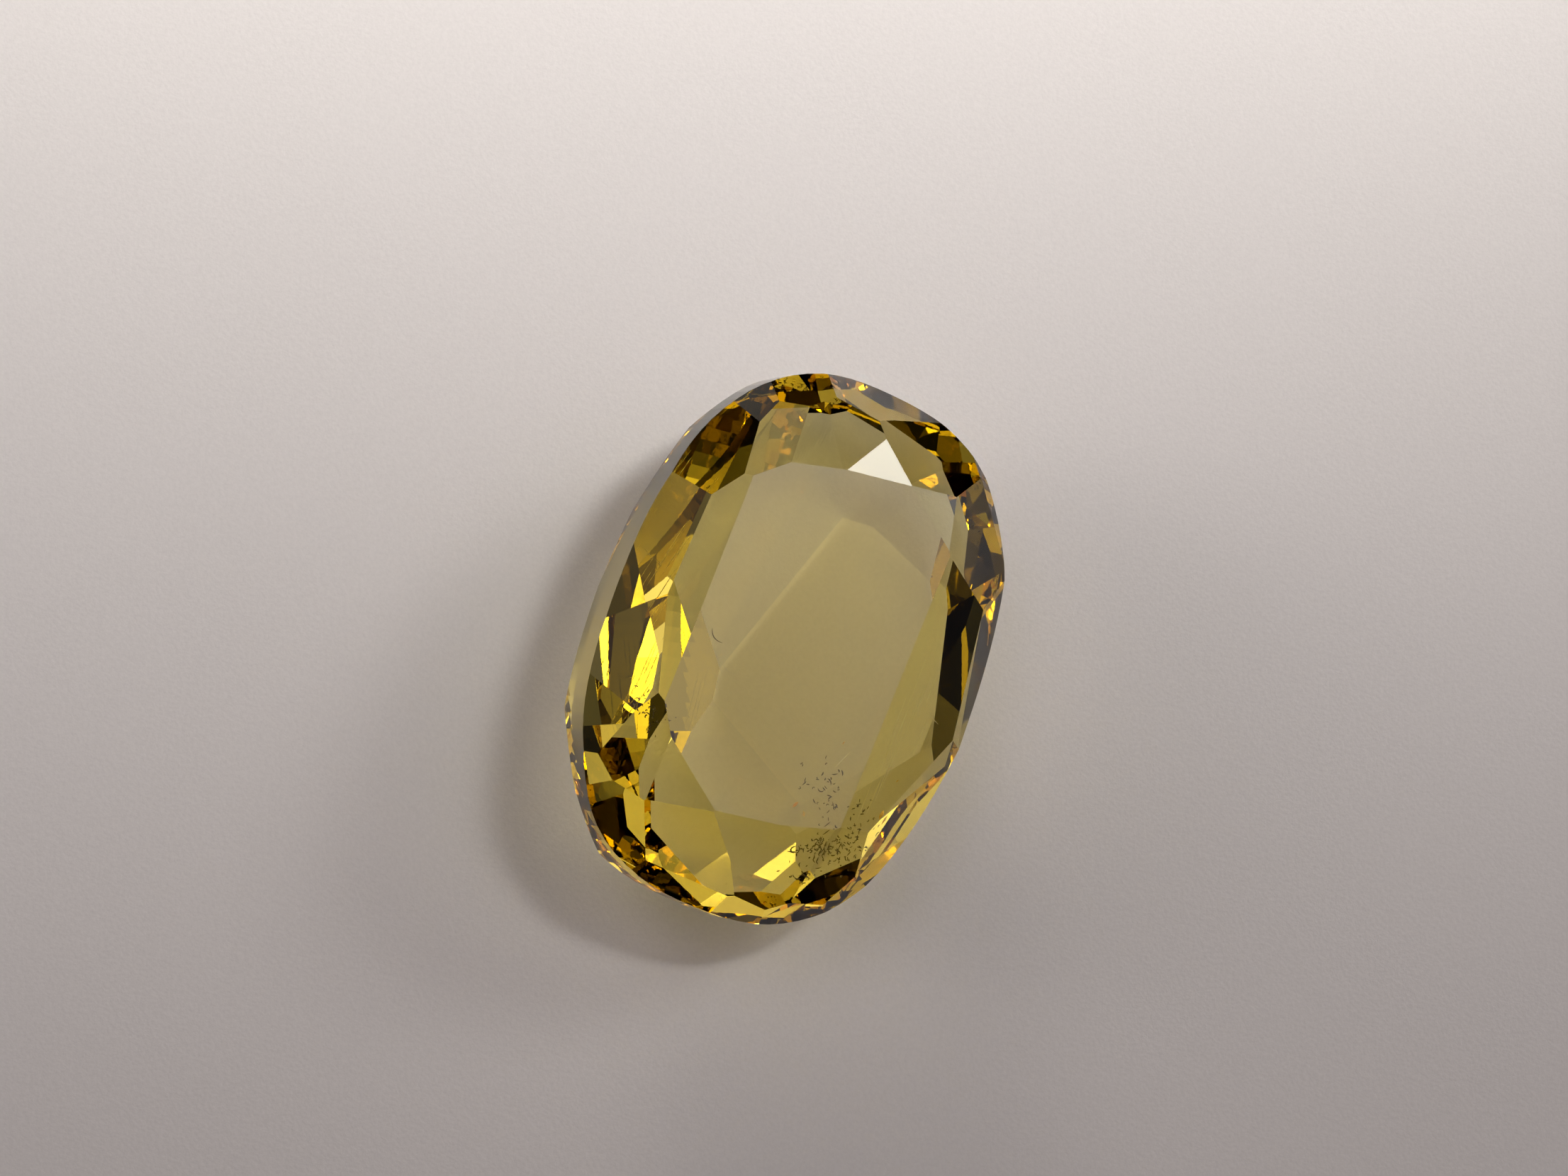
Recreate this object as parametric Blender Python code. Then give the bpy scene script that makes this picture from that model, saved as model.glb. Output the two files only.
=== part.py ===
"""Yellow sapphire: a long oval mixed cut lying on one broad facet of its pavilion.

The stone starts as a block with the girdle's outline and is ground facet by facet, the way a
lapidary works. Every facet is a flat plane with an azimuth round the stone's axis and a pitch
from the girdle's plane. In the stone's own frame +X is the short axis, +Y the long axis and +Z
points out of the table. Lengths are millimetres until the mesh is scaled to metres.
"""

import math

import bmesh
import bpy
from mathutils import Euler, Vector

# Overall size of the stone, in millimetres
LENGTH = 13.0
WIDTH = 9.4
TABLE_HEIGHT = 1.5
GIRDLE_BOTTOM = -0.5

# The girdle's outline is a superellipse; an exponent of 2 would be a plain ellipse
SQUARENESS = 2.476
OUTLINE_SIDES = 96
OUTLINE_STEPS = 3600

# Shallow crown facets next to the table: azimuth, pitch, and the distance from the stone's axis
# at which the facet meets the table
STARS = (
    (-1.0, 14.0, 2.30),
    (36.0, 27.0, 3.88),
    (55.5, 18.0, 4.14),
    (76.4, 28.5, 4.54),
    (100.4, 18.0, 4.25),
    (106.4, 20.0, 4.235),
    (131.6, 26.0, 4.28),
    (180.0, 14.0, 2.95),
    (214.0, 27.0, 3.85),
    (235.0, 18.0, 4.05),
    (256.0, 28.5, 4.45),
    (280.0, 18.0, 4.15),
    (287.0, 20.0, 4.13),
    (312.0, 26.0, 4.15),
)

# Steeper crown facets that run down to the girdle: azimuth, pitch, and the height at which the
# facet reaches the outline
HALVES = (
    (6.5, 40.5, 0.52),
    (38.0, 42.0, 0.45),
    (56.0, 43.5, 0.50),
    (91.5, 42.0, 0.28),
    (93.5, 41.5, 0.28),
    (120.0, 39.5, 0.36),
    (142.5, 42.0, 0.38),
    (154.5, 41.5, 0.36),
    (178.5, 42.0, 0.44),
    (190.5, 36.5, 0.44),
    (195.0, 38.0, 0.42),
    (221.0, 41.5, 0.36),
    (236.0, 43.0, 0.14),
    (261.5, 43.5, 0.20),
    (275.5, 44.5, 0.34),
    (299.5, 44.0, 0.34),
    (322.5, 42.0, 0.40),
    (342.5, 38.5, 0.34),
)

# Stepped rows of the pavilion, from the girdle down: height of the row's upper edge, pitch, and
# the azimuths of its facets
ROWS = (
    (GIRDLE_BOTTOM, 65.5, (147, 167, 212, 221, 272)),
    (-1.0, 52.5, (13, 66, 110, 176)),
    (-1.3, 49.5, (23, 41, 75, 120, 135, 185, 269, 292, 324)),
    (-2.15, 27.0, (40, 65, 194, 210, 237, 269, 307, 340)),
)

# Three broad facets close the pavilion: azimuth, pitch, and how much farther out the facet lies
# than the foot of the rows. The stone rests on the first one, which faces +X
BED_HEIGHT = -2.4
BED_PITCH = 15.0
BED = (
    (0, BED_PITCH, 0.0),
    (145, 15.0, 0.25),
    (289, 18.0, -0.25),
)

# The uncut block reaches below every facet
BLOCK_BOTTOM = -6.0

MILLIMETRE = 0.001
CUT_TOLERANCE = 1e-6
CORNER_WELD = 0.005
CROWN_SIDE = 1
PAVILION_SIDE = -1

# Look of the stone: clear warm yellow, polished
COLOUR = (0.93, 0.72, 0.20, 1.0)
ROUGHNESS = 0.02
METALLIC = 0.0
INDEX_OF_REFRACTION = 1.765


def outline_point(turn):
    """Point of the girdle's outline at a parameter angle."""
    c, s = math.cos(turn), math.sin(turn)
    power = 2.0 / SQUARENESS
    x = math.copysign(abs(c) ** power, c) * WIDTH / 2.0
    y = math.copysign(abs(s) ** power, s) * LENGTH / 2.0
    return Vector((x, y))


def girdle_outline():
    """Outline points at equal distances along the girdle."""
    fine = [outline_point(math.tau * i / OUTLINE_STEPS) for i in range(OUTLINE_STEPS + 1)]
    walked = [0.0]
    for start, end in zip(fine, fine[1:]):
        walked.append(walked[-1] + (end - start).length)
    points = []
    here = 0
    for k in range(OUTLINE_SIDES):
        wanted = walked[-1] * k / OUTLINE_SIDES
        while walked[here + 1] < wanted:
            here += 1
        share = (wanted - walked[here]) / (walked[here + 1] - walked[here])
        points.append(fine[here].lerp(fine[here + 1], share))
    return points


def reach(outline, azimuth):
    """How far the outline goes from the stone's axis towards an azimuth."""
    turn = math.radians(azimuth)
    way = Vector((math.cos(turn), math.sin(turn)))
    return max(way.dot(point) for point in outline)


def facet_plane(azimuth, pitch, inset, height, side):
    """Point and outward normal of the facet that passes through this inset and height."""
    turn, slope = math.radians(azimuth), math.radians(pitch)
    way = Vector((math.cos(turn), math.sin(turn), 0.0))
    up = Vector((0.0, 0.0, side))
    return way * inset + Vector((0.0, 0.0, height)), way * math.sin(slope) + up * math.cos(slope)


def crown_planes(outline):
    """Facets above the girdle: the ring next to the table, then those down to the outline."""
    planes = []
    for azimuth, pitch, inset in STARS:
        planes.append(facet_plane(azimuth, pitch, inset, TABLE_HEIGHT, CROWN_SIDE))
    for azimuth, pitch, height in HALVES:
        planes.append(facet_plane(azimuth, pitch, reach(outline, azimuth), height, CROWN_SIDE))
    return planes


def row_inset(outline, azimuth, height):
    """Distance from the axis at a height, walking in along the rows from the girdle."""
    inset = reach(outline, azimuth)
    ends = [top for top, _, _ in ROWS[1:]] + [BED_HEIGHT]
    for (top, pitch, _), bottom in zip(ROWS, ends):
        drop = min(max(top - height, 0.0), top - bottom)
        inset -= drop / math.tan(math.radians(pitch))
    return inset


def pavilion_planes(outline):
    """Facets below the girdle: the stepped rows, then the broad facets of the bed."""
    planes = []
    for height, pitch, azimuths in ROWS:
        for azimuth in azimuths:
            inset = row_inset(outline, azimuth, height)
            planes.append(facet_plane(azimuth, pitch, inset, height, PAVILION_SIDE))
    for azimuth, pitch, farther in BED:
        inset = row_inset(outline, azimuth, BED_HEIGHT) + farther
        planes.append(facet_plane(azimuth, pitch, inset, BED_HEIGHT, PAVILION_SIDE))
    return planes


def rough_block(outline):
    """Prism of the girdle's outline from below the pavilion up to the table."""
    bm = bmesh.new()
    base = bm.faces.new([bm.verts.new((p.x, p.y, BLOCK_BOTTOM)) for p in outline])
    grown = bmesh.ops.extrude_face_region(bm, geom=[base])
    top = [v for v in grown["geom"] if isinstance(v, bmesh.types.BMVert)]
    bmesh.ops.translate(bm, verts=top, vec=(0.0, 0.0, TABLE_HEIGHT - BLOCK_BOTTOM))
    return bm


def cut_facet(bm, point, normal):
    """Grinds away all that stands outside the plane and closes the stone with a flat facet."""
    geom = list(bm.verts) + list(bm.edges) + list(bm.faces)
    cut = bmesh.ops.bisect_plane(
        bm, geom=geom, dist=CUT_TOLERANCE, plane_co=point, plane_no=normal, clear_outer=True
    )
    rim = [e for e in cut["geom_cut"] if isinstance(e, bmesh.types.BMEdge)]
    if len(rim) > 2:
        bmesh.ops.edgeloop_fill(bm, edges=rim)


def cut_stone():
    """Faceted stone in its own frame, scaled to metres."""
    outline = girdle_outline()
    bm = rough_block(outline)
    for point, normal in crown_planes(outline) + pavilion_planes(outline):
        cut_facet(bm, point, normal)
    bmesh.ops.remove_doubles(bm, verts=bm.verts, dist=CORNER_WELD)
    bmesh.ops.recalc_face_normals(bm, faces=bm.faces)
    bmesh.ops.scale(bm, vec=(MILLIMETRE, MILLIMETRE, MILLIMETRE), verts=bm.verts)
    mesh = bpy.data.meshes.new("sapphire")
    bm.to_mesh(mesh)
    bm.free()
    return mesh


def sapphire_material():
    """Clear yellow crystal."""
    material = bpy.data.materials.new("sapphire")
    material.use_nodes = True
    shader = material.node_tree.nodes["Principled BSDF"]
    shader.inputs["Base Color"].default_value = COLOUR
    shader.inputs["Roughness"].default_value = ROUGHNESS
    shader.inputs["Metallic"].default_value = METALLIC
    shader.inputs["IOR"].default_value = INDEX_OF_REFRACTION
    shader.inputs["Transmission Weight"].default_value = 1.0
    material.diffuse_color = COLOUR
    return material


def lay_down(stone):
    """Turns the stone onto its bed facet and centres its box over the origin."""
    stone.rotation_euler = Euler((0.0, math.radians(BED_PITCH), 0.0))
    turned = stone.rotation_euler.to_matrix()
    corners = [turned @ v.co for v in stone.data.vertices]
    low = [min(corner[axis] for corner in corners) for axis in range(3)]
    high = [max(corner[axis] for corner in corners) for axis in range(3)]
    stone.location = (-(low[0] + high[0]) / 2.0, -(low[1] + high[1]) / 2.0, -low[2])


def main():
    for ob in list(bpy.data.objects):
        bpy.data.objects.remove(ob, do_unlink=True)
    mesh = cut_stone()
    mesh.materials.append(sapphire_material())
    stone = bpy.data.objects.new("sapphire", mesh)
    bpy.context.scene.collection.objects.link(stone)
    lay_down(stone)


main()
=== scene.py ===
"""Yellow sapphire on pale paper, laid out as a Blender add-on and run as a script.

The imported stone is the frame. Operators polish it, grow the small crystals inside it, lay the
paper, hang the studio lights and set up the camera.
"""

import math

import bpy
import numpy as np
from mathutils import Matrix, Vector


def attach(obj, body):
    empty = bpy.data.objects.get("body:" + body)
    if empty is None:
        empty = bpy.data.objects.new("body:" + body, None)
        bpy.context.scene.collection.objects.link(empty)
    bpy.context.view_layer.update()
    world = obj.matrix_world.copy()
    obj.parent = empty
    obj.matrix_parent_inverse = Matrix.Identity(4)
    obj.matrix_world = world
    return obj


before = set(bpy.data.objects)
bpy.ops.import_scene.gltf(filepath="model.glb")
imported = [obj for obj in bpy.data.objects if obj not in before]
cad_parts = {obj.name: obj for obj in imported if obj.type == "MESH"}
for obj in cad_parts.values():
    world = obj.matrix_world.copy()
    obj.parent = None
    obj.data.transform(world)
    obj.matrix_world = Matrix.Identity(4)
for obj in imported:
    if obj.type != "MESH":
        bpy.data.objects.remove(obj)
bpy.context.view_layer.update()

bl_info = {
    "name": "Yellow sapphire",
    "version": (1, 0, 0),
    "blender": (4, 5, 0),
    "location": "View3D > Sidebar > Sapphire",
    "description": "Polishes the cut stone, grows what is inside it and sets it on paper",
    "category": "Object",
}

MM = 0.001

# The stone's own frame: its table is the plane z = TABLE_TOP, its girdle lies near z = 0.
# In the row frame it is turned by BED_PITCH about Y and its origin is at STONE_ORIGIN.
BED_PITCH = 15.0
STONE_ORIGIN = (0.0179, 0.0, 3.1012)
TABLE_TOP = 1.5

# The photograph's frame, in pixels, and the camera in the stone's own frame
PHOTO_WIDTH = 2212
PHOTO_HEIGHT = 1659
PIXELS_PER_MM = 59.878
CAMERA_DISTANCE = 90.0
CAMERA_TURN = 20.6
CAMERA_TIP = -8.5
CAMERA_ROLL = -21.4
CAMERA_AIM = (0.128, -1.415)
SENSOR = 36.0
CAMERA_CLIP = 0.001

# Wide soft lamp and round panes: azimuth clockwise from +Y and elevation in degrees, lengths in
# metres, beam in degrees
LAMP_AZIMUTH = 14.0
LAMP_ELEVATION = 56.0
LAMP_DISTANCE = 0.25
LAMP_RADIUS = 0.062
LAMP_AIM = (-0.036, 0.094, 0.0)
LAMP_BEAM = 35.0
LAMP_COLOUR = (1.0, 0.985, 0.92)
PANE_DISTANCE = 0.30

# Panes: azimuth clockwise from +Y, elevation and half width in degrees, and brightness as a
# share of the pane property
PANES = ((38.0, 34.0, 8.0, 1.0), (53.0, 20.0, 7.0, 0.15))

# Soft lights of the room: azimuth clockwise from +Y, elevation, width in degrees and colour
SOFT_LIGHTS = (
    (330.0, 4.0, 6.0, (30.0, 27.5, 24.0)),
    (261.0, 16.0, 8.0, (7.5, 7.0, 6.5)),
    (63.0, 16.0, 7.0, (0.6, 0.55, 0.6)),
    (90.0, 4.0, 7.0, (2.0, 1.8, 1.7)),
    (64.0, 50.0, 9.0, (1.4, 1.25, 1.35)),
    (294.0, 58.0, 9.0, (2.2, 2.0, 2.1)),
)

# Swarms of dark needles: each is strewn along a line between two photograph pixels, with a
# spread in pixels and a share of the needles
DARK_STARTS = ((1152, 1182), (1120, 1196), (1118, 1222), (1150, 1125), (1140, 1075), (916, 988))
DARK_ENDS = ((1204, 1200), (1205, 1168), (1165, 1226), (1222, 1165), (1170, 1105), (944, 1024))
DARK_SPREADS = ((9, 12), (9, 6), (10, 6), (20, 16), (12, 9), (9, 7))
DARK_SHARES = np.array((0.32, 0.18, 0.07, 0.23, 0.08, 0.12))
DARK_DEPTHS = (1.1, 1.3)
DARK_SEED = 11
DARK_STEPS = 5
DARK_SIDES = 5

# The curved fibre: photograph pixels of its ends and of the corner that it bends round
FIBRE_PIXELS = ((1005.0, 886.0), (1003.0, 902.0), (1019.0, 907.0))
FIBRE_STEPS = 24
FIBRE_SIDES = 8
FIBRE_DEPTH = 1.0
FIBRE_DROP = 0.1
FIBRE_RADIUS = 0.013

# Pale needles: photograph pixels of the bright ones' ends, and the line that the fine parallel
# ones are strewn along, with their spread, half lengths, depths and widths
BRIGHT_NEEDLES = (((1304, 1001), (1327, 1022)), ((1176, 1085), (1200, 1060)))
BRIGHT_DEPTH = 0.6
BRIGHT_WIDTH = 0.03
SILK_BAND = ((1310, 950), (1240, 1130))
SILK_SPREAD = (14, 10)
SILK_HALVES = (18.0, 48.0)
SILK_DEPTHS = (0.9, 1.2)
SILK_WIDTHS = (0.014, 0.026)
SILK_FLATNESS = 0.7
SILK_SHOULDER = 0.4
SILK_SEED = 5

# Gold flecks: photograph pixels, lengths and the heading that they keep near
FLECK_PIXELS = ((1122, 1135), (1134, 1148), (1252, 1082), (1264, 1100), (1241, 1148), (1190, 1048))
FLECK_LENGTHS = (0.20, 0.16, 0.12, 0.12, 0.28, 0.10)
FLECK_HEADING = (0.3, 0.9, 0.1)
FLECK_TURN = 0.35
FLECK_DEPTH = 1.0
FLECK_WIDTH = 0.45
FLECK_FLATNESS = 0.25
FLECK_SHOULDER = 0.25
FLECK_UNEVEN = (0.7, 1.1)
FLECK_SEED = 23
CRYSTAL_SIDES = 6

# Radius at a tube's tips, squared, as a share of its full radius squared
TIP_SHARE = 0.05

# Paper lies this far under the stone, so that the resting facet keeps its own face
PAPER_GAP = 0.00003
PAPER_SIZE = 1.0


# Places


def axis_turn(axis, degrees):
    """Rotation matrix about one axis as a numpy array."""
    return np.array(Matrix.Rotation(math.radians(degrees), 3, axis))


def stone_to_row():
    """Rotation that lays the stone on its bed facet."""
    return axis_turn("Y", BED_PITCH)


def to_row(points):
    """Points of the stone's own frame, in millimetres, as points of the row frame in metres."""
    return (np.asarray(points) @ stone_to_row().T + np.array(STONE_ORIGIN)) * MM


def camera_axes():
    """Rows are the camera's right, up and back directions in the stone's own frame."""
    return axis_turn("Z", CAMERA_ROLL) @ axis_turn("X", CAMERA_TIP) @ axis_turn("Y", CAMERA_TURN)


def camera_place():
    """Camera position in the stone's own frame, in millimetres."""
    return camera_axes().T @ np.array([-CAMERA_AIM[0], -CAMERA_AIM[1], CAMERA_DISTANCE])


def sight_line(pixels):
    """Unit directions from the camera through photograph pixels, in the stone's own frame."""
    pixels = np.atleast_2d(np.asarray(pixels, float))
    right = (pixels[:, 0] - PHOTO_WIDTH / 2.0) / PIXELS_PER_MM
    up = (PHOTO_HEIGHT / 2.0 - pixels[:, 1]) / PIXELS_PER_MM
    back = np.full_like(right, -CAMERA_DISTANCE)
    lines = np.stack([right, up, back], axis=1) @ camera_axes()
    return lines / np.linalg.norm(lines, axis=1, keepdims=True)


def under_table(pixels, depth, index):
    """Points inside the stone that a photograph pixel shows, at a depth under the table.

    The sight line meets the table's plane and bends there by Snell's law: its sideways part is
    divided by the index of refraction, and its downward part makes the length one again.
    """
    lines = sight_line(pixels)
    place = camera_place()
    reach = (TABLE_TOP - place[2]) / lines[:, 2]
    entry = place + lines * reach[:, None]
    sideways = lines[:, :2] / index
    down = -np.sqrt(1.0 - (sideways**2).sum(axis=1))
    inner = np.column_stack([sideways, down])
    travel = np.broadcast_to(np.asarray(depth, float), reach.shape) / -down
    return entry + inner * travel[:, None]


# Surfaces


def unit(vectors):
    """Vectors divided by their lengths."""
    return vectors / np.linalg.norm(vectors, axis=-1, keepdims=True)


def side_axes(along):
    """Two directions at right angles to each vector and to each other."""
    helper = np.where(np.abs(along[..., 2:3]) < 0.9, [[0.0, 0.0, 1.0]], [[1.0, 0.0, 0.0]])
    first = unit(np.cross(along, helper))
    return first, np.cross(along, first)


def crystal_surface(centres, along, across, lengths, widths, flatness, sides, shoulder, uneven):
    """Pointed prisms: points and faces of many small crystals at once.

    A point of a crystal is its centre, plus a share of its length along its axis, plus a radius
    times the cosine and sine of the turn along its two side axes. The radius is the width at
    both shoulders and zero at both tips, the second side axis is squeezed by the flatness, and
    a factor of its own per corner makes it uneven.
    """
    count = len(centres)
    first = unit(across - (across * along).sum(axis=1, keepdims=True) * along)
    second = np.cross(along, first)
    turn = np.arange(sides) * math.tau / sides
    level = np.array([-shoulder, shoulder])
    radius = widths[:, None, None] / 2.0 * uneven
    ring = (
        centres[:, None, None, :]
        + along[:, None, None, :] * (lengths[:, None] / 2.0 * level)[:, :, None, None]
        + first[:, None, None, :] * (radius * np.cos(turn))[..., None]
        + second[:, None, None, :] * (radius * np.sin(turn) * flatness[:, None, None])[..., None]
    )
    tips = centres[:, None, :] + along[:, None, :] * (
        np.array([-0.5, 0.5])[None, :, None] * lengths[:, None, None]
    )
    points = np.concatenate([ring.reshape(count, 2 * sides, 3), tips], axis=1)
    here = np.arange(sides)
    after = (here + 1) % sides
    low_tip, high_tip = 2 * sides, 2 * sides + 1
    walls = np.stack([here, after, after + sides, here + sides], axis=1)
    low = np.stack([after, here, np.full(sides, low_tip)], axis=1)
    high = np.stack([here + sides, after + sides, np.full(sides, high_tip)], axis=1)
    base = np.arange(count)[:, None, None] * (2 * sides + 2)
    quads = (walls[None] + base).reshape(-1, 4)
    triangles = np.concatenate([low[None] + base, high[None] + base]).reshape(-1, 3)
    return points.reshape(-1, 3), quads.tolist() + triangles.tolist()


def tube_surface(paths, radii, sides):
    """Thin bent tubes, many at once: each path point carries a ring of corners.

    A corner is the path point plus the ring's radius times the cosine and sine of its turn along
    the path's two side axes. The radius is the tube's own one times the square root of the sine
    of half a turn along the path, so that both ends close to small tips.
    """
    count, steps = paths.shape[:2]
    along = unit(np.gradient(paths, axis=1))
    first, second = side_axes(along)
    share = np.linspace(0.0, 1.0, steps)
    fade = np.sqrt(np.clip(np.sin(math.pi * share), TIP_SHARE, 1.0))
    thick = radii[:, None, None] * fade[None, :, None]
    turn = np.arange(sides) * math.tau / sides
    rings = (
        paths[:, :, None, :]
        + first[:, :, None, :] * (thick * np.cos(turn))[..., None]
        + second[:, :, None, :] * (thick * np.sin(turn))[..., None]
    )
    step, here = np.meshgrid(np.arange(steps - 1), np.arange(sides), indexing="ij")
    after = (here + 1) % sides
    start = step * sides
    walls = np.stack([start + here, start + after, start + sides + after, start + sides + here], axis=-1)
    low = np.arange(sides)[::-1]
    high = (steps - 1) * sides + np.arange(sides)
    base = np.arange(count) * steps * sides
    quads = (walls.reshape(1, -1, 4) + base[:, None, None]).reshape(-1, 4)
    ends = np.concatenate([low[None] + base[:, None], high[None] + base[:, None]])
    return rings.reshape(-1, 3), quads.tolist() + ends.tolist()


def squiggles(rng, starts, lengths, bends, drops, steps):
    """Short bent paths on planes along the table, many at once.

    A path starts at its own heading and turns by the same bend at every step; each step goes the
    length divided by the number of steps along the heading, and sinks by a share of the drop.
    """
    count = len(starts)
    heading = rng.uniform(0.0, math.tau, count)[:, None] + bends[:, None] * np.arange(steps - 1)
    step = (lengths / (steps - 1))[:, None]
    sink = np.broadcast_to(drops[:, None] / (steps - 1), heading.shape)
    moves = np.stack([np.cos(heading) * step, np.sin(heading) * step, sink], axis=2)
    walked = np.concatenate([np.zeros((count, 1, 3)), np.cumsum(moves, axis=1)], axis=1)
    return starts[:, None, :] + walked - walked.mean(axis=1, keepdims=True)


def make_piece(name, points, faces, material):
    """Mesh object at the origin, its place in its mesh, riding on the stone's body."""
    mesh = bpy.data.meshes.new(name)
    mesh.from_pydata(to_row(points).tolist(), [], faces)
    mesh.validate()
    mesh.update()
    mesh.materials.append(material)
    piece = bpy.data.objects.new(name, mesh)
    bpy.context.scene.collection.objects.link(piece)
    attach(piece, "root")
    return piece


# Materials


class Finish:
    """One material with its shader, and short ways to add and join nodes."""

    def __init__(self, name):
        self.material = bpy.data.materials.new(name)
        self.material.use_nodes = True
        self.nodes = self.material.node_tree.nodes
        self.links = self.material.node_tree.links
        self.shader = self.nodes["Principled BSDF"]
        self.output = self.nodes["Material Output"]
        self.place = self.nodes.new("ShaderNodeTexCoord").outputs["Object"]

    def set(self, **values):
        """Constant values on the shader's own sockets; underscores stand for spaces."""
        for key, value in values.items():
            self.shader.inputs[key.replace("_", " ")].default_value = value

    def stretched(self, turn, scale):
        """Object coordinates in millimetres, turned and scaled."""
        mapping = self.nodes.new("ShaderNodeMapping")
        mapping.vector_type = "POINT"
        mapping.inputs["Rotation"].default_value = [math.radians(v) for v in turn]
        mapping.inputs["Scale"].default_value = [v / MM for v in scale]
        self.links.new(self.place, mapping.inputs["Vector"])
        return mapping.outputs["Vector"]

    def noise(self, vector, scale, detail, roughness=0.5):
        node = self.nodes.new("ShaderNodeTexNoise")
        node.inputs["Scale"].default_value = scale
        node.inputs["Detail"].default_value = detail
        node.inputs["Roughness"].default_value = roughness
        self.links.new(vector, node.inputs["Vector"])
        return node.outputs["Fac"]

    def spread(self, value, low, high, to_low, to_high):
        """Value mapped from one range to another, clamped."""
        node = self.nodes.new("ShaderNodeMapRange")
        node.inputs["From Min"].default_value = low
        node.inputs["From Max"].default_value = high
        node.inputs["To Min"].default_value = to_low
        node.inputs["To Max"].default_value = to_high
        self.links.new(value, node.inputs["Value"])
        return node.outputs["Result"]

    def ramp(self, value, stops):
        """Colour ramp from (position, colour) stops."""
        node = self.nodes.new("ShaderNodeValToRGB")
        elements = node.color_ramp.elements
        while len(elements) < len(stops):
            elements.new(0.5)
        for element, (position, colour) in zip(elements, stops):
            element.position = position
            element.color = (*colour, 1.0)
        self.links.new(value, node.inputs["Fac"])
        return node.outputs["Color"]

    def bump(self, height, strength, distance):
        node = self.nodes.new("ShaderNodeBump")
        node.inputs["Strength"].default_value = strength
        node.inputs["Distance"].default_value = distance
        self.links.new(height, node.inputs["Height"])
        self.links.new(node.outputs["Normal"], self.shader.inputs["Normal"])

    def join(self, output, socket):
        self.links.new(output, self.shader.inputs[socket])


def sapphire_finish(look):
    """Clear yellow crystal: absorption in the depth, faint polishing lines on the facets."""
    finish = Finish("sapphire_crystal")
    finish.set(Roughness=0.0, Metallic=0.0, IOR=look.index, Transmission_Weight=1.0)
    lines = finish.noise(finish.stretched((0.0, 0.0, 35.0), (9.0, 0.4, 9.0)), 1.0, 3.0, 0.6)
    haze = finish.noise(finish.stretched((0.0, 0.0, 0.0), (0.35, 0.35, 0.35)), 1.0, 2.0)
    finish.bump(lines, look.polish_lines, 0.0000004)
    tint = finish.ramp(haze, ((0.35, (1.0, 1.0, 1.0)), (0.7, (0.985, 0.975, 0.95))))
    finish.join(tint, "Base Color")
    inside = finish.nodes.new("ShaderNodeVolumeAbsorption")
    inside.inputs["Color"].default_value = (*look.colour, 1.0)
    inside.inputs["Density"].default_value = look.depth_of_colour
    finish.links.new(inside.outputs["Volume"], finish.output.inputs["Volume"])
    return finish.material


def dark_crystal_finish():
    """Small dark crystals: near black with brown shoulders and a dull glint."""
    finish = Finish("dark_crystal")
    finish.set(Metallic=0.0, IOR=1.9)
    grain = finish.noise(finish.stretched((0, 0, 0), (14.0, 14.0, 14.0)), 1.0, 2.0)
    finish.join(
        finish.ramp(grain, ((0.3, (0.012, 0.009, 0.007)), (0.75, (0.10, 0.055, 0.018)))),
        "Base Color",
    )
    finish.join(finish.spread(grain, 0.3, 0.7, 0.25, 0.6), "Roughness")
    return finish.material


def pale_silk_finish():
    """Fine pale needles: white with a faint warm change along them."""
    finish = Finish("pale_silk")
    finish.set(Metallic=0.0, IOR=1.6)
    grain = finish.noise(finish.stretched((0, 0, 0), (3.0, 3.0, 3.0)), 1.0, 2.0)
    finish.join(
        finish.ramp(grain, ((0.3, (0.80, 0.74, 0.56)), (0.7, (0.97, 0.95, 0.88)))),
        "Base Color",
    )
    finish.join(finish.spread(grain, 0.3, 0.7, 0.3, 0.5), "Roughness")
    return finish.material


def gold_fleck_finish():
    """Thin orange-gold plates that catch the light."""
    finish = Finish("gold_fleck")
    finish.set(Metallic=0.0, IOR=1.7)
    grain = finish.noise(finish.stretched((0, 0, 0), (8.0, 8.0, 8.0)), 1.0, 2.0)
    finish.join(
        finish.ramp(grain, ((0.3, (0.75, 0.36, 0.03)), (0.7, (0.98, 0.72, 0.18)))),
        "Base Color",
    )
    finish.join(finish.spread(grain, 0.3, 0.7, 0.15, 0.4), "Roughness")
    return finish.material


def paper_finish(stage):
    """Matt pale paper with fine grain and short fibres."""
    finish = Finish("paper")
    finish.set(Metallic=0.0, IOR=1.45, Specular_IOR_Level=0.2)
    grain = finish.noise(finish.stretched((0, 0, 0), (11.0, 11.0, 11.0)), 1.0, 4.0, 0.65)
    fibres = finish.noise(finish.stretched((0, 0, 25.0), (5.0, 0.9, 5.0)), 1.0, 3.0, 0.6)
    low = [v * 0.94 for v in stage.paper]
    finish.join(finish.ramp(grain, ((0.3, low), (0.7, stage.paper))), "Base Color")
    finish.join(finish.spread(fibres, 0.3, 0.7, 0.85, 1.0), "Roughness")
    finish.bump(grain, 0.35, 0.00002)
    return finish.material


# What a user can change


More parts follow.
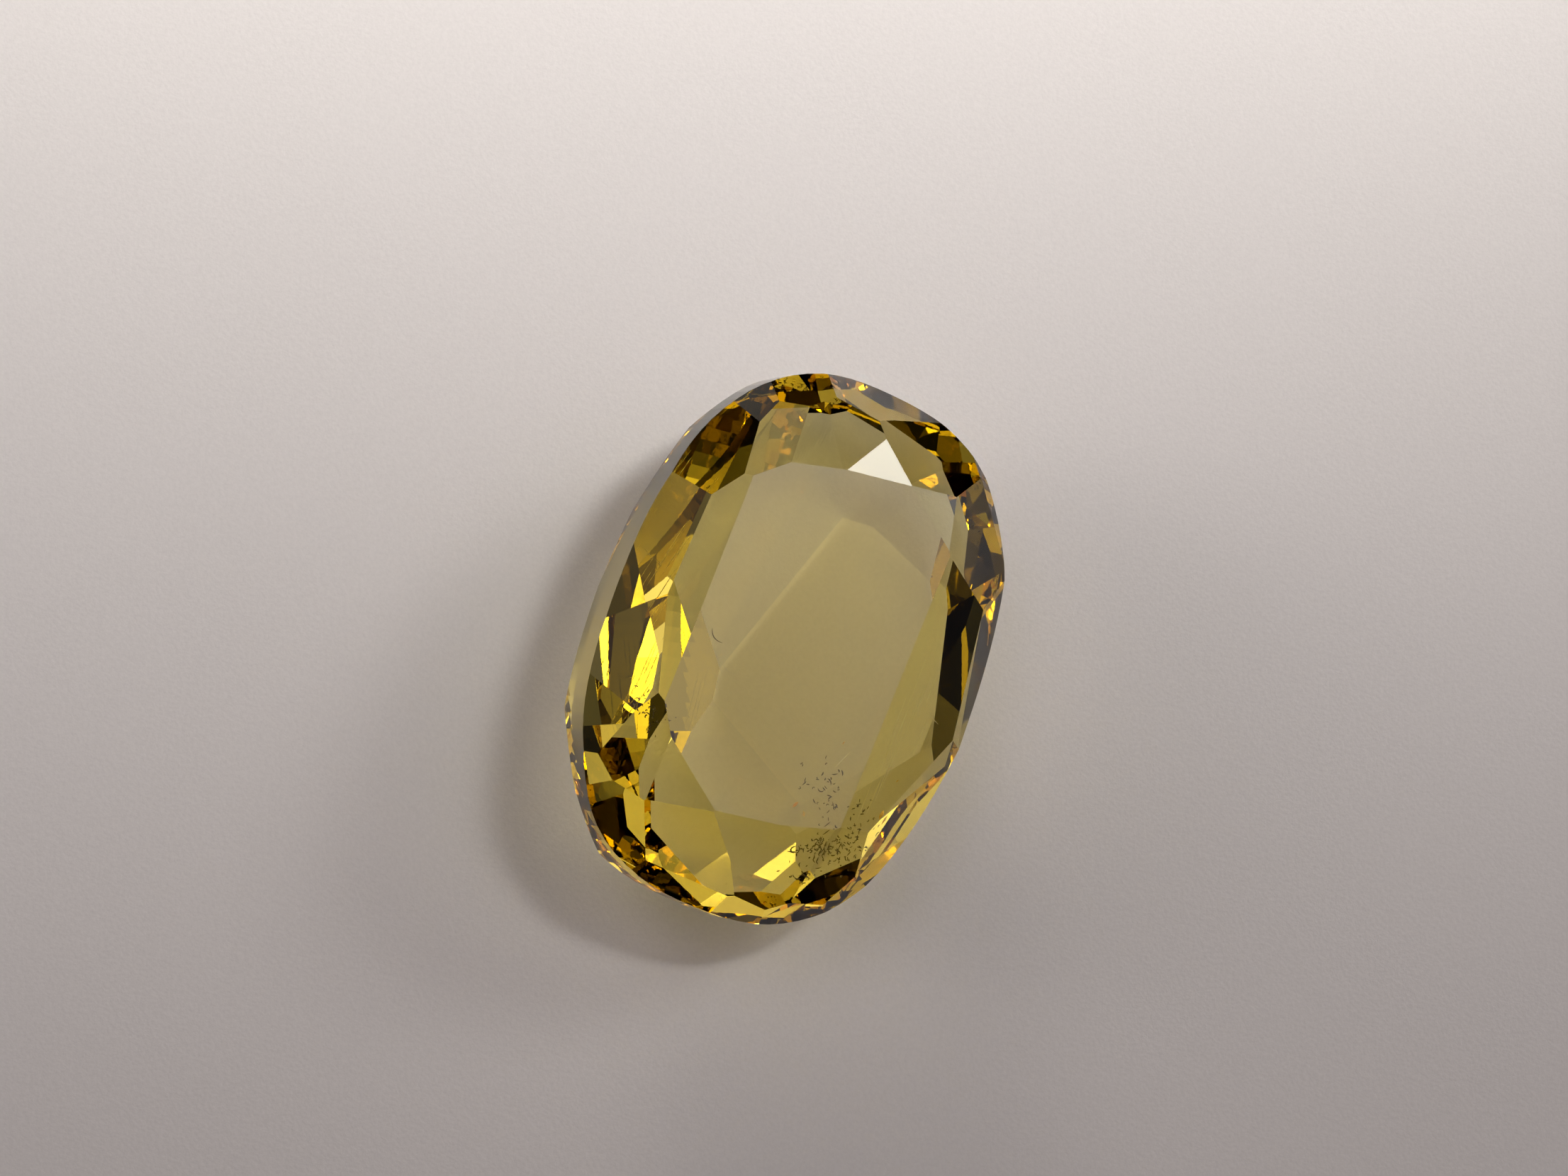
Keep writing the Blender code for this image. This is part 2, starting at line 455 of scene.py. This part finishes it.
class StoneLook(bpy.types.PropertyGroup):
    """Colour and polish of the stone."""

    colour: bpy.props.FloatVectorProperty(
        name="Colour",
        description="Colour that light keeps inside the stone",
        subtype="COLOR",
        size=3,
        min=0.0,
        max=1.0,
        default=(0.998, 0.938, 0.46),
    )
    depth_of_colour: bpy.props.FloatProperty(
        name="Depth of colour",
        description="Absorption per metre of the crystal",
        default=300.0,
        min=0.0,
    )
    index: bpy.props.FloatProperty(
        name="Index of refraction",
        description="Sapphire bends light by this index",
        default=1.765,
        min=1.0,
        max=3.0,
    )
    polish_lines: bpy.props.FloatProperty(
        name="Polishing lines",
        description="Strength of the fine lines left by polishing",
        default=0.15,
        min=0.0,
        max=1.0,
        subtype="FACTOR",
    )


class InsideLook(bpy.types.PropertyGroup):
    """Small crystals inside the stone."""

    dark_count: bpy.props.IntProperty(
        name="Dark needles",
        description="Short bent needles in the dark swarms",
        default=230,
        min=1,
    )
    dark_length: bpy.props.FloatProperty(
        name="Dark needle length",
        description="Length of an average dark needle",
        default=0.000100,
        min=0.0,
        unit="LENGTH",
    )
    dark_width: bpy.props.FloatProperty(
        name="Dark needle width",
        description="Thickness of an average dark needle",
        default=0.000032,
        min=0.0,
        unit="LENGTH",
    )
    silk_count: bpy.props.IntProperty(
        name="Silk needles",
        description="Pale parallel needles",
        default=16,
        min=1,
    )


class StageLook(bpy.types.PropertyGroup):
    """Paper and lights."""

    paper: bpy.props.FloatVectorProperty(
        name="Paper",
        description="Colour of the paper",
        subtype="COLOR",
        size=3,
        min=0.0,
        max=1.0,
        default=(0.78, 0.74, 0.74),
    )
    lamp: bpy.props.FloatProperty(
        name="Window lamp",
        description="Power of the window lamp in watts",
        default=16.0,
        min=0.0,
    )
    pane: bpy.props.FloatProperty(
        name="Window panes",
        description="Brightness of the pale panes",
        default=8.0,
        min=0.0,
    )
    light: bpy.props.FloatProperty(
        name="Room light",
        description="Strength of all the soft lights together",
        default=1.0,
        min=0.0,
    )


# Operators


class SAPPHIRE_OT_polish_stone(bpy.types.Operator):
    """Give the cut stone its clear yellow crystal"""

    bl_idname = "sapphire.polish_stone"
    bl_label = "Polish the stone"

    def execute(self, context):
        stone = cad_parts["sapphire"]
        finish = sapphire_finish(context.scene.sapphire_stone)
        for slot in stone.material_slots:
            slot.material = finish
        return {"FINISHED"}


def scatter(rng, starts, ends, spreads, counts):
    """Photograph pixels strewn along straight lines, with normal spread round each line."""
    starts, ends, spreads = (
        np.repeat(np.asarray(v, float), counts, axis=0) for v in (starts, ends, spreads)
    )
    share = rng.uniform(0.0, 1.0, (len(starts), 1))
    return starts + (ends - starts) * share + rng.normal(size=starts.shape) * spreads


class SAPPHIRE_OT_grow_dark_crystals(bpy.types.Operator):
    """Grow the swarms of short bent dark needles under the table"""

    bl_idname = "sapphire.grow_dark_crystals"
    bl_label = "Grow dark needles"

    def execute(self, context):
        look = context.scene.sapphire_inside
        rng = np.random.default_rng(DARK_SEED)
        counts = np.maximum(1, np.round(DARK_SHARES * look.dark_count)).astype(int)
        pixels = scatter(rng, DARK_STARTS, DARK_ENDS, DARK_SPREADS, counts)
        total = len(pixels)
        depths = rng.uniform(*DARK_DEPTHS, total)
        starts = under_table(pixels, depths, context.scene.sapphire_stone.index)
        lengths = look.dark_length / MM * rng.lognormal(0.0, 0.4, total)
        bends = rng.normal(0.0, 0.55, total)
        drops = rng.uniform(-0.3, 0.3, total) * lengths
        paths = squiggles(rng, starts, lengths, bends, drops, DARK_STEPS)
        radii = look.dark_width / MM / 2.0 * rng.uniform(0.7, 1.25, total)
        points, faces = tube_surface(paths, radii, DARK_SIDES)
        make_piece("dark_needles", points, faces, dark_crystal_finish())
        return {"FINISHED"}


class SAPPHIRE_OT_grow_fibre(bpy.types.Operator):
    """Grow the short curved dark fibre"""

    bl_idname = "sapphire.grow_fibre"
    bl_label = "Grow the curved fibre"

    def execute(self, context):
        share = np.linspace(0.0, 1.0, FIBRE_STEPS)[:, None]
        start, bend, end = (np.array(pixel) for pixel in FIBRE_PIXELS)
        pixels = (1 - share) ** 2 * start + 2 * share * (1 - share) * bend + share**2 * end
        depths = FIBRE_DEPTH + FIBRE_DROP * share[:, 0]
        path = under_table(pixels, depths, context.scene.sapphire_stone.index)
        points, faces = tube_surface(path[None], np.array([FIBRE_RADIUS]), FIBRE_SIDES)
        make_piece("curved_fibre", points, faces, dark_crystal_finish())
        return {"FINISHED"}


class SAPPHIRE_OT_grow_silk(bpy.types.Operator):
    """Grow the pale needles: two bright ones, and a band of fine parallel ones"""

    bl_idname = "sapphire.grow_silk"
    bl_label = "Grow pale needles"

    def execute(self, context):
        look = context.scene.sapphire_inside
        index = context.scene.sapphire_stone.index
        rng = np.random.default_rng(SILK_SEED)
        count = look.silk_count
        share = rng.uniform(0.0, 1.0, (count, 1))
        band = np.array(SILK_BAND, float)
        middle = band[0] + (band[1] - band[0]) * share + rng.normal(size=(count, 2)) * SILK_SPREAD
        heading = unit(band[1] - band[0])
        half = rng.uniform(*SILK_HALVES, (count, 1)) * heading
        bright = np.array(BRIGHT_NEEDLES, float)
        pixels = np.concatenate([bright[:, 0], middle - half, bright[:, 1], middle + half])
        total = count + len(bright)
        depth = np.concatenate([np.full(len(bright), BRIGHT_DEPTH), rng.uniform(*SILK_DEPTHS, count)])
        ends = under_table(pixels, np.tile(depth, 2), index).reshape(2, total, 3)
        span = ends[1] - ends[0]
        lengths = np.linalg.norm(span, axis=1)
        widths = np.concatenate([np.full(len(bright), BRIGHT_WIDTH), rng.uniform(*SILK_WIDTHS, count)])
        points, faces = crystal_surface(
            ends.mean(axis=0),
            span / lengths[:, None],
            rng.normal(size=(total, 3)),
            lengths,
            widths,
            np.full(total, SILK_FLATNESS),
            CRYSTAL_SIDES,
            SILK_SHOULDER,
            np.ones((total, 2, CRYSTAL_SIDES)),
        )
        make_piece("pale_needles", points, faces, pale_silk_finish())
        return {"FINISHED"}


class SAPPHIRE_OT_grow_flecks(bpy.types.Operator):
    """Grow the orange-gold flecks"""

    bl_idname = "sapphire.grow_flecks"
    bl_label = "Grow gold flecks"

    def execute(self, context):
        index = context.scene.sapphire_stone.index
        rng = np.random.default_rng(FLECK_SEED)
        pixels = np.array(FLECK_PIXELS, float)
        total = len(pixels)
        centres = under_table(pixels, np.full(total, FLECK_DEPTH), index)
        lengths = np.array(FLECK_LENGTHS)
        along = unit(np.array([FLECK_HEADING]) + rng.normal(size=(total, 3)) * FLECK_TURN)
        points, faces = crystal_surface(
            centres,
            along,
            rng.normal(size=(total, 3)),
            lengths,
            lengths * FLECK_WIDTH,
            np.full(total, FLECK_FLATNESS),
            CRYSTAL_SIDES,
            FLECK_SHOULDER,
            rng.uniform(*FLECK_UNEVEN, (total, 2, CRYSTAL_SIDES)),
        )
        make_piece("gold_flecks", points, faces, gold_fleck_finish())
        return {"FINISHED"}


def sky_direction(azimuth, elevation):
    """Unit vector towards an azimuth clockwise from +Y and an elevation, in degrees."""
    turn, lift = math.radians(azimuth), math.radians(elevation)
    return Vector((math.sin(turn) * math.cos(lift), math.cos(turn) * math.cos(lift), math.sin(lift)))


def room_light(strength, lights=None):
    """World whose brightness is a sum of round soft lights.

    Each light has an azimuth clockwise from +Y, an elevation, a width and a colour. Its
    brightness in a direction is the exponential of (cosine of the angle to it, less one)
    divided by the square of its width in radians.
    """
    world = bpy.data.worlds.new("soft_room")
    bpy.context.scene.world = world
    world.use_nodes = True
    nodes, links = world.node_tree.nodes, world.node_tree.links
    background = nodes["Background"]
    background.inputs["Strength"].default_value = strength
    place = nodes.new("ShaderNodeTexCoord").outputs["Generated"]
    total = None
    for azimuth, elevation, width, colour in SOFT_LIGHTS if lights is None else lights:
        along = nodes.new("ShaderNodeVectorMath")
        along.operation = "DOT_PRODUCT"
        along.inputs[1].default_value = sky_direction(azimuth, elevation)
        links.new(place, along.inputs[0])
        sharp = 1.0 / math.radians(width) ** 2
        power = nodes.new("ShaderNodeMath")
        power.operation = "MULTIPLY_ADD"
        power.inputs[1].default_value = sharp
        power.inputs[2].default_value = -sharp
        links.new(along.outputs["Value"], power.inputs[0])
        glow = nodes.new("ShaderNodeMath")
        glow.operation = "EXPONENT"
        links.new(power.outputs["Value"], glow.inputs[0])
        tinted = nodes.new("ShaderNodeVectorMath")
        tinted.operation = "MULTIPLY_ADD"
        tinted.inputs[0].default_value = colour
        links.new(glow.outputs["Value"], tinted.inputs[1])
        if total is None:
            tinted.inputs[2].default_value = (0.0, 0.0, 0.0)
        else:
            links.new(total, tinted.inputs[2])
        total = tinted.outputs["Vector"]
    links.new(total, background.inputs["Color"])


class SAPPHIRE_OT_lay_paper(bpy.types.Operator):
    """Lay the pale paper under the stone"""

    bl_idname = "sapphire.lay_paper"
    bl_label = "Lay the paper"

    def execute(self, context):
        half = PAPER_SIZE / 2.0
        mesh = bpy.data.meshes.new("paper")
        corners = [(-half, -half), (half, -half), (half, half), (-half, half)]
        mesh.from_pydata([(x, y, -PAPER_GAP) for x, y in corners], [], [(0, 1, 2, 3)])
        mesh.materials.append(paper_finish(context.scene.sapphire_stage))
        paper = bpy.data.objects.new("paper", mesh)
        context.scene.collection.objects.link(paper)
        return {"FINISHED"}


def hang_lamp(name, kind, place, aim, power, colour):
    """Lamp of a kind at a place, turned towards a point; returns its light data."""
    light = bpy.data.lights.new(name, kind)
    light.energy = power
    light.color = colour
    lamp = bpy.data.objects.new(name, light)
    lamp.location = place
    lamp.rotation_euler = (aim - place).to_track_quat("-Z", "Y").to_euler()
    bpy.context.scene.collection.objects.link(lamp)
    return light


def window_lamp(power):
    """Wide soft lamp whose beam is turned past the stone, so that the paper fades to one side."""
    place = sky_direction(LAMP_AZIMUTH, LAMP_ELEVATION) * LAMP_DISTANCE
    light = hang_lamp("window_lamp", "SPOT", place, Vector(LAMP_AIM), power, LAMP_COLOUR)
    light.shadow_soft_size = LAMP_RADIUS
    light.spot_size = math.radians(LAMP_BEAM)
    light.spot_blend = 1.0


def window_panes(brightness):
    """Round pale panes that the facets nearest the camera mirror.

    A flat round lamp of radius r looks as bright as its power divided by pi squared and by r
    squared, so the power is worked out from the brightness.
    """
    for azimuth, elevation, half_width, share in PANES:
        place = sky_direction(azimuth, elevation) * PANE_DISTANCE
        radius = PANE_DISTANCE * math.tan(math.radians(half_width))
        power = (math.pi * radius) ** 2 * brightness * share
        light = hang_lamp("window_pane", "AREA", place, Vector((0.0, 0.0, 0.0)), power, LAMP_COLOUR)
        light.shape = "DISK"
        light.size = 2.0 * radius


class SAPPHIRE_OT_hang_lights(bpy.types.Operator):
    """Hang the window lamp and light the room with a few wide soft lights"""

    bl_idname = "sapphire.hang_lights"
    bl_label = "Hang the lights"

    def execute(self, context):
        window_lamp(context.scene.sapphire_stage.lamp)
        window_panes(context.scene.sapphire_stage.pane)
        room_light(context.scene.sapphire_stage.light)
        return {"FINISHED"}


class SAPPHIRE_OT_place_camera(bpy.types.Operator):
    """Put the camera where the photograph was taken from"""

    bl_idname = "sapphire.place_camera"
    bl_label = "Place the camera"

    def execute(self, context):
        axes = stone_to_row() @ camera_axes().T
        matrix = Matrix(axes.tolist()).to_4x4()
        matrix.translation = Vector(to_row(camera_place()))
        lens = bpy.data.cameras.new("camera")
        lens.sensor_width = SENSOR
        lens.lens = PIXELS_PER_MM * CAMERA_DISTANCE / PHOTO_WIDTH * SENSOR
        lens.clip_start = CAMERA_CLIP
        camera = bpy.data.objects.new("camera", lens)
        context.scene.collection.objects.link(camera)
        camera.matrix_world = matrix
        context.scene.camera = camera
        return {"FINISHED"}


class SAPPHIRE_PT_panel(bpy.types.Panel):
    """Lists the pieces and what can be changed"""

    bl_idname = "SAPPHIRE_PT_panel"
    bl_label = "Yellow sapphire"
    bl_space_type = "VIEW_3D"
    bl_region_type = "UI"
    bl_category = "Sapphire"

    def draw(self, context):
        layout = self.layout
        for group in ("sapphire_stone", "sapphire_inside", "sapphire_stage"):
            look = getattr(context.scene, group)
            box = layout.box()
            for name in look.__annotations__:
                box.prop(look, name)
        for operator in STEPS:
            layout.operator(operator.bl_idname)


STEPS = (
    SAPPHIRE_OT_place_camera,
    SAPPHIRE_OT_polish_stone,
    SAPPHIRE_OT_grow_dark_crystals,
    SAPPHIRE_OT_grow_fibre,
    SAPPHIRE_OT_grow_silk,
    SAPPHIRE_OT_grow_flecks,
    SAPPHIRE_OT_lay_paper,
    SAPPHIRE_OT_hang_lights,
)
LOOKS = {"sapphire_stone": StoneLook, "sapphire_inside": InsideLook, "sapphire_stage": StageLook}


def register():
    for group in LOOKS.values():
        bpy.utils.register_class(group)
    for operator in STEPS:
        bpy.utils.register_class(operator)
    bpy.utils.register_class(SAPPHIRE_PT_panel)
    for name, group in LOOKS.items():
        setattr(bpy.types.Scene, name, bpy.props.PointerProperty(type=group))


def unregister():
    for name in LOOKS:
        delattr(bpy.types.Scene, name)
    bpy.utils.unregister_class(SAPPHIRE_PT_panel)
    for operator in reversed(STEPS):
        bpy.utils.unregister_class(operator)
    for group in reversed(list(LOOKS.values())):
        bpy.utils.unregister_class(group)


def light_paths(scene):
    """Lets light cross many facets, and keeps colours as the camera saw them."""
    scene.cycles.max_bounces = 24
    scene.cycles.transmission_bounces = 24
    scene.cycles.glossy_bounces = 12
    scene.cycles.diffuse_bounces = 4
    scene.cycles.caustics_refractive = True
    scene.cycles.caustics_reflective = True
    scene.cycles.use_denoising = True
    scene.view_settings.view_transform = "Standard"


def main():
    register()
    light_paths(bpy.context.scene)
    bpy.ops.sapphire.place_camera()
    bpy.ops.sapphire.polish_stone()
    bpy.ops.sapphire.grow_dark_crystals()
    bpy.ops.sapphire.grow_fibre()
    bpy.ops.sapphire.grow_silk()
    bpy.ops.sapphire.grow_flecks()
    bpy.ops.sapphire.lay_paper()
    bpy.ops.sapphire.hang_lights()


if __name__ == "__main__":
    main()
